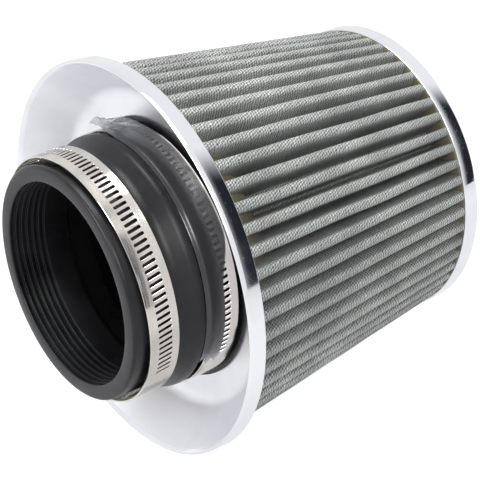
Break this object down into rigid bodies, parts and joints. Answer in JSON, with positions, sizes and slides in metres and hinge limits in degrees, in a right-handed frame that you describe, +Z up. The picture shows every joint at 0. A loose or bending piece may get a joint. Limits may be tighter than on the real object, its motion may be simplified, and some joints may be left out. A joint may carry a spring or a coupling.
{
  "type": "clamp-on cone air filter",
  "caption": "Clamp-on cone air filter with a chrome base dish and end cap, a pleated mesh-covered cone, and a rubber neck and adapter held by worm-drive hose clamps.",
  "frame": {"origin": "centre of the adapter's open mouth, on the filter's axis", "axes": "+X along the filter's axis from the mouth to the closed end cap, +Z up, with the clamp screws underneath, towards +Y"},
  "size_m": [0.1471, 0.15, 0.15],
  "materials": {
    "rubber": "matte",
    "chrome": "polished",
    "urethane": "matte",
    "wire": "satin",
    "media": "matte",
    "film": "clear gloss",
    "band_steel": "satin",
    "screw_steel": "satin"
  },
  "bodies": {
    "filter": {"adapter_sleeve": "rubber", "filter_neck": "rubber", "base_dish": "chrome", "base_potting": "urethane", "outer_wire_mesh": "wire", "filter_media": "media", "inner_wire_mesh": "wire", "end_cap": "chrome", "cap_potting": "urethane", "film_strip": "film"},
    "front_clamp": {"front_clamp_band": "band_steel", "front_clamp_saddle": "band_steel", "front_clamp_housing": "band_steel"},
    "front_screw": {"front_clamp_screw": "screw_steel"},
    "front_tail": {"front_clamp_tail": "band_steel"},
    "rear_clamp": {"rear_clamp_band": "band_steel", "rear_clamp_saddle": "band_steel", "rear_clamp_housing": "band_steel"},
    "rear_screw": {"rear_clamp_screw": "screw_steel"},
    "rear_tail": {"rear_clamp_tail": "band_steel"}
  },
  "joints": [
    {"name": "front_clamp_turn", "type": "hinge", "parent": "filter", "child": "front_clamp", "pos_m": [0.0107, 0, 0], "axis": [0.9992, 0, 0.0401], "continuous": true},
    {"name": "front_screw_turn", "type": "hinge", "parent": "front_clamp", "child": "front_screw", "pos_m": [0.01259, 0.02095, -0.04701], "axis": [-0.0163, 0.9135, 0.4064], "range_deg": [-1080, 720]},
    {"name": "front_tail_feed", "type": "hinge", "parent": "front_clamp", "child": "front_tail", "pos_m": [0.0107, 0, 0], "axis": [0.9992, 0, 0.0401], "range_deg": [-8.9, 5.95]},
    {"name": "rear_clamp_turn", "type": "hinge", "parent": "filter", "child": "rear_clamp", "pos_m": [0.0347, 0, 0], "axis": [1, 0, 0], "range_deg": [-15, 40]},
    {"name": "rear_screw_turn", "type": "hinge", "parent": "rear_clamp", "child": "rear_screw", "pos_m": [0.0347, 0.02164, -0.0486], "axis": [0, 0.9135, 0.4067], "range_deg": [-1080, 720]},
    {"name": "rear_tail_feed", "type": "hinge", "parent": "rear_clamp", "child": "rear_tail", "pos_m": [0.0347, 0, 0], "axis": [1, 0, 0], "range_deg": [-8.6, 5.75]}
  ],
  "couplings": [
    {"joint": "front_tail_feed", "follows": "front_screw_turn", "ratio": 0.0081774},
    {"joint": "rear_tail_feed", "follows": "rear_screw_turn", "ratio": 0.0078925}
  ]
}
